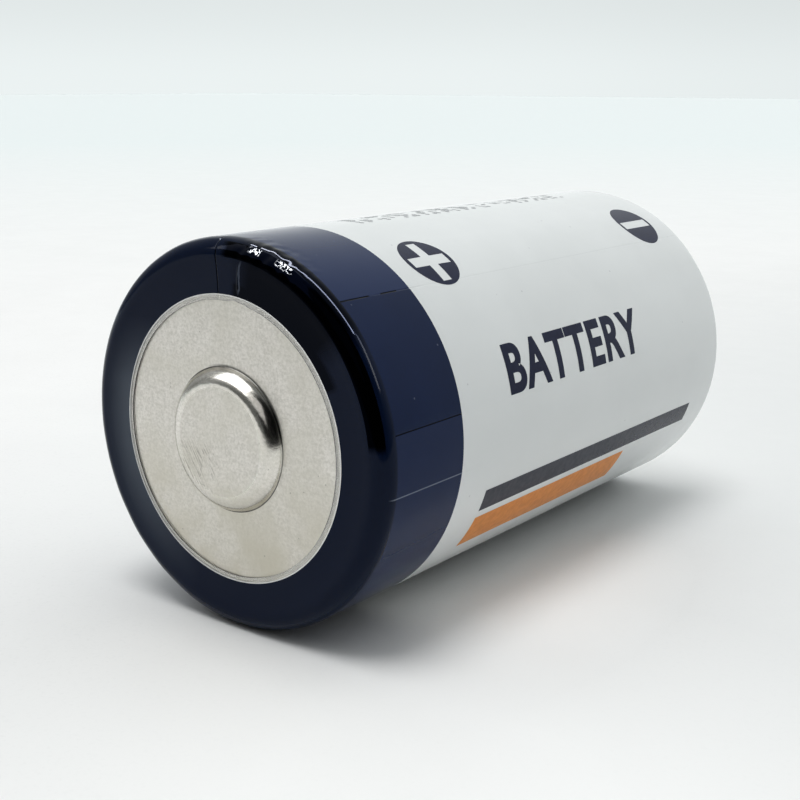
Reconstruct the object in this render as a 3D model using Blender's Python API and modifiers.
"""Cylindrical lithium battery cell, D size, built as its real pieces.

The cell lies on its side. Its axis is the Y axis, the positive terminal faces -Y, and +Z is up. The origin is
the centre of the negative contact face. Every piece is modelled standing, with local Z along the cell from the
negative contact to the positive button, and an empty lays the whole stack down.
"""

import math

import bmesh
import bpy
from mathutils import Matrix, Vector

MM = 0.001

# Driving dimensions, in metres. Heights are measured along the axis from the negative contact face.
CELL_LENGTH = 61.5 * MM
CELL_RADIUS = 17.0 * MM
CONTACT_GAP = 0.1 * MM  # left between pieces that touch
SEGMENTS = 32  # sides of every turned piece that nests in another
SMALL_SEGMENTS = 24  # sides of the turned pieces around the centre post
ARC_STEPS = 4  # facets in each rounded corner

# Heat-shrink sleeve
SLEEVE_WALL = 0.15 * MM
SLEEVE_FRONT = CELL_LENGTH - 0.85 * MM
SLEEVE_FRONT_CORNER = 1.7 * MM
SLEEVE_FRONT_LIP_RADIUS = 12.1 * MM
SLEEVE_BACK = 0.05 * MM
SLEEVE_BACK_CORNER = 1.1 * MM
SLEEVE_BACK_LIP_RADIUS = 12.6 * MM

# Positive cap, a stamping with a raised button
CAP_RADIUS = 13.2 * MM
CAP_SHEET = 0.3 * MM
CAP_FACE = SLEEVE_FRONT - SLEEVE_WALL - CONTACT_GAP
BUTTON_FACE_RADIUS = 4.8 * MM
BUTTON_TOP_CORNER = 1.5 * MM
BUTTON_WALL_LEAN = 18  # degrees that the wall leans inwards at its foot
BUTTON_FOOT_RADIUS = 6.27 * MM

# Deep-drawn can
CAN_RADIUS = 16.55 * MM
CAN_WALL = 0.35 * MM
CAN_RIM = 58.2 * MM
CAN_CORNER = 0.9 * MM
CAN_BASE = SLEEVE_BACK + SLEEVE_WALL + CONTACT_GAP
CONTACT_RADIUS = 11.2 * MM  # the flat of the raised negative contact
CONTACT_FOOT_RADIUS = 11.8 * MM
CAN_BORE = CAN_RADIUS - CAN_WALL

# Electrodes and the glass-fibre between them
ANODE_THICKNESS = 2.0 * MM
ANODE_RADIUS = CAN_BORE - CONTACT_GAP
ANODE_BOTTOM = 2.2 * MM
ANODE_TOP = 48.0 * MM
ANODE_SEAM = 1.2 * MM  # gap left where the rolled foil's ends meet
SEPARATOR_WALL = 0.4 * MM
SEPARATOR_RADIUS = ANODE_RADIUS - ANODE_THICKNESS - CONTACT_GAP
SEPARATOR_TOP = 50.5 * MM
CATHODE_RADIUS = SEPARATOR_RADIUS - SEPARATOR_WALL - CONTACT_GAP
CATHODE_BORE = 3.2 * MM
CATHODE_TOP = 48.0 * MM
COLLECTOR_WALL = 0.3 * MM
COLLECTOR_RADIUS = CATHODE_BORE - CONTACT_GAP
COLLECTOR_TOP = 50.0 * MM
BOTTOM_DISC_THICKNESS = 0.3 * MM
FIBRE_THICKNESS = 0.4 * MM

# Header: cover, glass seal, centre post and what closes it
COVER_RADIUS = CAN_BORE - CONTACT_GAP
COVER_SHEET = 0.6 * MM
COVER_FLOOR = 56.6 * MM
SEAL_BORE = 3.0 * MM
COLLAR_WALL = 0.7 * MM
COLLAR_BOTTOM = 56.0 * MM
COLLAR_TOP = 57.9 * MM
POST_RADIUS = 1.35 * MM
POST_BORE = 0.85 * MM
POST_BOTTOM = 52.6 * MM
POST_TOP = 60.75 * MM
BALL_RADIUS = 0.75 * MM
BALL_HEIGHT = 57.6 * MM
PLUG_HEAD_RADIUS = 1.2 * MM
PLUG_HEAD = 0.3 * MM
PLUG_STEM_BOTTOM = 59.2 * MM
HEADER_DISC_BOTTOM = 55.1 * MM
HEADER_DISC_THICKNESS = 0.6 * MM
HEADER_DISC_RADIUS = 15.4 * MM
POTTING_TOP = 58.0 * MM

# Moulded ring that insulates the cap from the can
RING_BOTTOM = CAN_RIM + CONTACT_GAP
RING_SEAT = CAP_FACE - CAP_SHEET - CONTACT_GAP
RING_TOP = SLEEVE_FRONT - SLEEVE_WALL - CONTACT_GAP
RING_CORNER = 1.45 * MM
RING_BORE = 7.2 * MM

# Ribbon from the collector to the centre post
TAB_WIDTH = 2.4 * MM
TAB_SHEET = 0.2 * MM


def clear_scene():
    for old in list(bpy.data.objects):
        bpy.data.objects.remove(old, do_unlink=True)


def new_collection(name):
    collection = bpy.data.collections.new(name)
    bpy.context.scene.collection.children.link(collection)
    return collection


def material(name, colour, roughness, metallic=0.0):
    made = bpy.data.materials.new(name)
    made.use_nodes = True
    shader = made.node_tree.nodes["Principled BSDF"]
    shader.inputs["Base Color"].default_value = (*colour, 1.0)
    shader.inputs["Roughness"].default_value = roughness
    shader.inputs["Metallic"].default_value = metallic
    made.diffuse_color = (*colour, 1.0)
    return made


def corner(centre, radius, start_deg, end_deg, steps=ARC_STEPS):
    """Points of a rounded corner in a profile; angles run from +X (outwards) towards +Z (along the axis)."""
    points = []
    for step in range(steps + 1):
        angle = math.radians(start_deg + (end_deg - start_deg) * step / steps)
        points.append((centre[0] + radius * math.cos(angle), centre[1] + radius * math.sin(angle)))
    return points


def place(mesh, name, finish):
    """Puts a mesh into the cell as one named piece, laid down with the rest of the stack."""
    piece = bpy.data.objects.new(name, mesh)
    piece.data.materials.append(finish)
    cell_parts.objects.link(piece)
    piece.parent = cell_axis
    return piece


def turned(name, profile, finish, closed, steps=SEGMENTS):
    """A turned piece: a profile of (radius, height) points that runs down its outer side, and a Screw.

    The Screw starts half a side away from +X, so that the cell lies on a flat side.
    """
    half_side = Matrix.Rotation(math.pi / steps, 3, "Z")
    points = [half_side @ Vector((radius, 0.0, height)) for radius, height in profile]
    edges = [(i, i + 1) for i in range(len(points) - 1)]
    if closed:
        edges.append((len(points) - 1, 0))
    mesh = bpy.data.meshes.new(name)
    mesh.from_pydata(points, edges, [])
    piece = place(mesh, name, finish)
    screw = piece.modifiers.new("Turn", "SCREW")
    screw.steps = screw.render_steps = steps
    screw.use_merge_vertices = True
    screw.merge_threshold = 0.001 * MM
    screw.use_normal_calculate = False
    screw.use_smooth_shade = True
    return piece


def tube(name, outer, inner, bottom, top, finish, steps=SEGMENTS):
    profile = [(outer, top), (outer, bottom), (inner, bottom), (inner, top)]
    return turned(name, profile, finish, closed=True, steps=steps)


def thicken(piece, thickness, offset=-1.0):
    """Gives an open surface its sheet thickness: inwards from it, or half to each side with an offset of 0."""
    solidify = piece.modifiers.new("Sheet", "SOLIDIFY")
    solidify.thickness = thickness
    solidify.offset = offset
    solidify.use_even_offset = True
    return piece


def cut(piece, cutter):
    """Removes a cutter from a piece; the cutter lies down with the stack and stays out of the render."""
    cutters.objects.link(cutter)
    cutter.parent = cell_axis
    cutter.hide_render = True
    cutter.display_type = "WIRE"
    boolean = piece.modifiers.new("Cut " + cutter.name, "BOOLEAN")
    boolean.operation = "DIFFERENCE"
    boolean.solver = "EXACT"
    boolean.object = cutter


def box_cutter(name, low, high):
    """A box between two opposite corners, as a cutter."""
    low, high = Vector(low), Vector(high)
    builder = bmesh.new()
    bmesh.ops.create_cube(builder, size=1.0)
    bmesh.ops.scale(builder, vec=high - low, verts=builder.verts)
    bmesh.ops.translate(builder, vec=(low + high) / 2, verts=builder.verts)
    mesh = bpy.data.meshes.new(name)
    builder.to_mesh(mesh)
    builder.free()
    return bpy.data.objects.new(name, mesh)


def shrink_sleeve():
    """Printed film shrunk over the whole cell, folded over both ends."""
    front_centre = (CELL_RADIUS - SLEEVE_FRONT_CORNER, SLEEVE_FRONT - SLEEVE_FRONT_CORNER)
    back_centre = (CELL_RADIUS - SLEEVE_BACK_CORNER, SLEEVE_BACK + SLEEVE_BACK_CORNER)
    profile = [
        (SLEEVE_FRONT_LIP_RADIUS, SLEEVE_FRONT),
        *corner(front_centre, SLEEVE_FRONT_CORNER, 90, 0),
        *corner(back_centre, SLEEVE_BACK_CORNER, 0, -90),
        (SLEEVE_BACK_LIP_RADIUS, SLEEVE_BACK),
    ]
    finish = material("printed_film", (0.72, 0.74, 0.75), 0.25)
    return thicken(turned("shrink_sleeve", profile, finish, closed=False), SLEEVE_WALL)


def positive_cap():
    """Stamped cap with the raised positive button; the outline is its outer face, from the axis outwards."""
    top_centre = (BUTTON_FACE_RADIUS, CELL_LENGTH - BUTTON_TOP_CORNER)
    profile = [
        (0.0, CELL_LENGTH),
        *corner(top_centre, BUTTON_TOP_CORNER, 90, BUTTON_WALL_LEAN),
        (BUTTON_FOOT_RADIUS, CAP_FACE),
        (CAP_RADIUS, CAP_FACE),
    ]
    finish = material("nickel_plate", (0.62, 0.61, 0.58), 0.35, 1.0)
    return thicken(turned("positive_cap", profile, finish, closed=False), CAP_SHEET)


def insulator_ring():
    """Moulded ring between the can's rim and the cap, with a seat for the cap and a rounded shoulder."""
    shoulder = (CAN_RADIUS - RING_CORNER, RING_TOP - RING_CORNER)
    seat_radius = CAP_RADIUS + CONTACT_GAP
    profile = [
        *corner(shoulder, RING_CORNER, 90, 0),
        (CAN_RADIUS, RING_BOTTOM),
        (RING_BORE, RING_BOTTOM),
        (RING_BORE, RING_SEAT),
        (seat_radius, RING_SEAT),
        (seat_radius, RING_TOP),
    ]
    return turned("top_insulator_ring", profile, material("ring_plastic", (0.03, 0.03, 0.035), 0.5), closed=True)


def steel_can():
    """Deep-drawn can, which is the negative pole, with a raised contact in its base."""
    base_centre = (CAN_RADIUS - CAN_CORNER, CAN_BASE + CAN_CORNER)
    profile = [
        (CAN_RADIUS, CAN_RIM),
        *corner(base_centre, CAN_CORNER, 0, -90),
        (CONTACT_FOOT_RADIUS, CAN_BASE),
        (CONTACT_RADIUS, 0.0),
        (0.0, 0.0),
    ]
    finish = material("nickel_plated_steel", (0.60, 0.59, 0.56), 0.3, 1.0)
    return thicken(turned("steel_can", profile, finish, closed=False), CAN_WALL)


def header_cover():
    """Dished steel cover welded into the can's mouth, with a collar that holds the glass."""
    floor_top = COVER_FLOOR + COVER_SHEET
    collar = SEAL_BORE + COLLAR_WALL
    profile = [
        (COVER_RADIUS, CAN_RIM),
        (COVER_RADIUS, COVER_FLOOR),
        (collar, COVER_FLOOR),
        (collar, COLLAR_BOTTOM),
        (SEAL_BORE, COLLAR_BOTTOM),
        (SEAL_BORE, COLLAR_TOP),
        (collar, COLLAR_TOP),
        (collar, floor_top),
        (COVER_RADIUS - COVER_SHEET, floor_top),
        (COVER_RADIUS - COVER_SHEET, CAN_RIM),
    ]
    return turned("header_cover", profile, material("stainless_steel", (0.56, 0.56, 0.57), 0.3, 1.0), closed=True)


def glass_seal():
    """Glass bead fused between the collar and the centre post, hollowed a little at both faces."""
    outer = SEAL_BORE - CONTACT_GAP
    inner = POST_RADIUS + CONTACT_GAP
    middle = (outer + inner) / 2
    hollow = 0.2 * MM
    low, high = COLLAR_BOTTOM + CONTACT_GAP, COLLAR_TOP - CONTACT_GAP
    profile = [
        (outer, high),
        (outer, low),
        (middle, low + hollow),
        (inner, low),
        (inner, high),
        (middle, high - hollow),
    ]
    finish = material("sealing_glass", (0.10, 0.22, 0.20), 0.1)
    return turned("glass_seal", profile, finish, closed=True, steps=SMALL_SEGMENTS)


def centre_post():
    """Hollow post through the glass: the positive lead, and the tube the cell is filled through."""
    finish = material("post_alloy", (0.55, 0.53, 0.50), 0.3, 1.0)
    return tube("feedthrough_tube", POST_RADIUS, POST_BORE, POST_BOTTOM, POST_TOP, finish, SMALL_SEGMENTS)


def fill_ball():
    """Steel ball pressed into the post after filling."""
    builder = bmesh.new()
    bmesh.ops.create_uvsphere(builder, u_segments=16, v_segments=10, radius=BALL_RADIUS)
    mesh = bpy.data.meshes.new("fill_ball")
    builder.to_mesh(mesh)
    builder.free()
    mesh.shade_smooth()
    ball = place(mesh, "fill_ball", material("ball_steel", (0.50, 0.50, 0.51), 0.15, 1.0))
    ball.location.z = BALL_HEIGHT
    return ball


def fill_plug():
    """Headed plug welded into the post's mouth, over the ball."""
    stem = POST_BORE - CONTACT_GAP
    head_bottom = POST_TOP + CONTACT_GAP
    profile = [
        (0.0, head_bottom + PLUG_HEAD),
        (PLUG_HEAD_RADIUS, head_bottom + PLUG_HEAD),
        (PLUG_HEAD_RADIUS, head_bottom),
        (stem, head_bottom),
        (stem, PLUG_STEM_BOTTOM),
        (0.0, PLUG_STEM_BOTTOM),
    ]
    finish = material("plug_steel", (0.58, 0.58, 0.58), 0.3, 1.0)
    return turned("fill_plug", profile, finish, closed=False, steps=SMALL_SEGMENTS)


def seal_potting():
    """Resin poured into the cover's dish, which keeps moisture off the glass."""
    outer = COVER_RADIUS - COVER_SHEET - CONTACT_GAP
    inner = SEAL_BORE + COLLAR_WALL + CONTACT_GAP
    bottom = COVER_FLOOR + COVER_SHEET + CONTACT_GAP
    return tube("seal_potting", outer, inner, bottom, POTTING_TOP, material("resin", (0.16, 0.10, 0.05), 0.35))


def header_insulator():
    """Disc under the cover that keeps the ribbon off it, with a hole for the post."""
    inner = POST_RADIUS + 2 * CONTACT_GAP
    top = HEADER_DISC_BOTTOM + HEADER_DISC_THICKNESS
    finish = material("fluoropolymer", (0.85, 0.85, 0.83), 0.5)
    return tube("header_insulator", HEADER_DISC_RADIUS, inner, HEADER_DISC_BOTTOM, top, finish)


def lithium_anode():
    """Lithium foil rolled against the can's wall, with a narrow seam where its ends meet."""
    finish = material("lithium", (0.55, 0.55, 0.57), 0.45, 1.0)
    foil = tube("lithium_anode", ANODE_RADIUS, ANODE_RADIUS - ANODE_THICKNESS, ANODE_BOTTOM, ANODE_TOP, finish)
    seam = box_cutter(
        "foil_seam",
        (-ANODE_SEAM / 2, ANODE_RADIUS - 2 * ANODE_THICKNESS, ANODE_BOTTOM - MM),
        (ANODE_SEAM / 2, ANODE_RADIUS + MM, ANODE_TOP + MM),
    )
    cut(foil, seam)
    return foil


def anode_edge_ring():
    """Glass-fibre ring that covers the foil's top edge."""
    inner = SEPARATOR_RADIUS + CONTACT_GAP
    bottom = ANODE_TOP + CONTACT_GAP
    return tube("anode_edge_ring", ANODE_RADIUS, inner, bottom, bottom + FIBRE_THICKNESS, fibre)


def separator():
    """Glass-fibre tube between the electrodes."""
    inner = SEPARATOR_RADIUS - SEPARATOR_WALL
    return tube("separator_tube", SEPARATOR_RADIUS, inner, bottom_cup_floor(), SEPARATOR_TOP, fibre)


def bottom_cup_floor():
    """Height of the inner face of the bottom separator."""
    disc_top = CAN_WALL + CAN_BASE + CONTACT_GAP + BOTTOM_DISC_THICKNESS
    return disc_top + CONTACT_GAP + FIBRE_THICKNESS + CONTACT_GAP


def bottom_separator():
    """Glass-fibre disc under the cathode."""
    top = bottom_cup_floor() - CONTACT_GAP
    bottom = top - FIBRE_THICKNESS
    radius = ANODE_RADIUS - ANODE_THICKNESS + MM
    profile = [(0.0, top), (radius, top), (radius, bottom), (0.0, bottom)]
    return turned("bottom_separator", profile, fibre, closed=False)


def bottom_insulator():
    """Disc on the can's floor."""
    bottom = CAN_BASE + CAN_WALL + CONTACT_GAP
    top = bottom + BOTTOM_DISC_THICKNESS
    radius = CAN_BORE - CAN_CORNER
    profile = [(0.0, top), (radius, top), (radius, bottom), (0.0, bottom)]
    finish = material("bottom_disc_plastic", (0.80, 0.80, 0.78), 0.5)
    return turned("bottom_insulator", profile, finish, closed=False)


def carbon_cathode():
    """Pressed porous carbon bobbin around the collector."""
    bottom = bottom_cup_floor() + CONTACT_GAP
    finish = material("carbon", (0.02, 0.02, 0.02), 0.9)
    return tube("carbon_cathode", CATHODE_RADIUS, CATHODE_BORE, bottom, CATHODE_TOP, finish)


def cathode_top_disc():
    """Glass-fibre disc on top of the cathode, around the collector."""
    bottom = CATHODE_TOP + CONTACT_GAP
    return tube("cathode_top_disc", CATHODE_RADIUS, CATHODE_BORE, bottom, bottom + FIBRE_THICKNESS, fibre)


def expanded_mesh_cutter(rows=9, per_row=6):
    """Diamond punches in staggered rows around the collector, as one cutter."""
    builder = bmesh.new()
    bottom, top = bottom_cup_floor() + 3 * MM, CATHODE_TOP - 3 * MM
    pitch = (top - bottom) / (rows - 1)
    length = 2 * MM
    for row in range(rows):
        for place_in_row in range(per_row):
            angle = math.tau * (place_in_row + 0.5 * (row % 2)) / per_row
            stand = Matrix.Translation((COLLECTOR_RADIUS, 0.0, bottom + row * pitch))
            lean = Matrix.Rotation(math.pi / 2, 4, "Y")
            flatten = Matrix.Diagonal((1.9 * MM, 0.85 * MM, length, 1.0))
            bmesh.ops.create_cone(
                builder,
                cap_ends=True,
                segments=4,
                radius1=1.0,
                radius2=1.0,
                depth=1.0,
                matrix=Matrix.Rotation(angle, 4, "Z") @ stand @ lean @ flatten,
            )
    mesh = bpy.data.meshes.new("diamond_punches")
    builder.to_mesh(mesh)
    builder.free()
    return bpy.data.objects.new("diamond_punches", mesh)


def cathode_collector():
    """Rolled expanded-metal tube in the cathode's bore."""
    bottom = bottom_cup_floor() + MM
    finish = material("nickel_mesh", (0.58, 0.57, 0.54), 0.35, 1.0)
    inner = COLLECTOR_RADIUS - COLLECTOR_WALL
    rolled = tube("cathode_collector", COLLECTOR_RADIUS, inner, bottom, COLLECTOR_TOP, finish, SMALL_SEGMENTS)
    cut(rolled, expanded_mesh_cutter())
    return rolled


def collector_tab():
    """Nickel ribbon from the collector's wall up to the post, with a slack bend between them.

    The path is the middle of the sheet. At the collector it keeps the ribbon's corners off the curved wall.
    """
    half_sheet = TAB_SHEET / 2
    bore = (COLLECTOR_RADIUS - COLLECTOR_WALL) * math.cos(math.pi / SMALL_SEGMENTS)
    wall = math.sqrt(bore**2 - (TAB_WIDTH / 2) ** 2) - CONTACT_GAP - half_sheet
    post = POST_RADIUS + CONTACT_GAP + half_sheet
    path = [
        (wall, COLLECTOR_TOP - 4 * MM),
        (wall, COLLECTOR_TOP),
        (wall + 0.5 * MM, COLLECTOR_TOP + 0.9 * MM),
        (wall + 0.4 * MM, COLLECTOR_TOP + 1.8 * MM),
        (post + 0.4 * MM, POST_BOTTOM + 0.1 * MM),
        (post, POST_BOTTOM + 0.6 * MM),
        (post, HEADER_DISC_BOTTOM - 0.2 * MM),
    ]
    builder = bmesh.new()
    points = [builder.verts.new((radius, -TAB_WIDTH / 2, height)) for radius, height in path]
    edges = [builder.edges.new(pair) for pair in zip(points, points[1:])]
    swept = bmesh.ops.extrude_edge_only(builder, edges=edges)
    moved = [item for item in swept["geom"] if isinstance(item, bmesh.types.BMVert)]
    bmesh.ops.translate(builder, vec=(0.0, TAB_WIDTH, 0.0), verts=moved)
    bmesh.ops.recalc_face_normals(builder, faces=builder.faces)
    mesh = bpy.data.meshes.new("collector_tab")
    builder.to_mesh(mesh)
    builder.free()
    ribbon = place(mesh, "collector_tab", material("nickel_ribbon", (0.60, 0.59, 0.56), 0.3, 1.0))
    return thicken(ribbon, TAB_SHEET, offset=0.0)


clear_scene()
cell_parts = new_collection("lithium_cell")
cutters = new_collection("cutters")
cell_axis = bpy.data.objects.new("cell_axis", None)
cell_parts.objects.link(cell_axis)
cell_axis.rotation_euler.x = math.pi / 2
fibre = material("glass_fibre", (0.86, 0.86, 0.84), 0.85)

shrink_sleeve()
positive_cap()
insulator_ring()
seal_potting()
header_cover()
glass_seal()
centre_post()
fill_ball()
fill_plug()
header_insulator()
collector_tab()
cathode_collector()
cathode_top_disc()
carbon_cathode()
separator()
bottom_separator()
lithium_anode()
anode_edge_ring()
bottom_insulator()
steel_can()
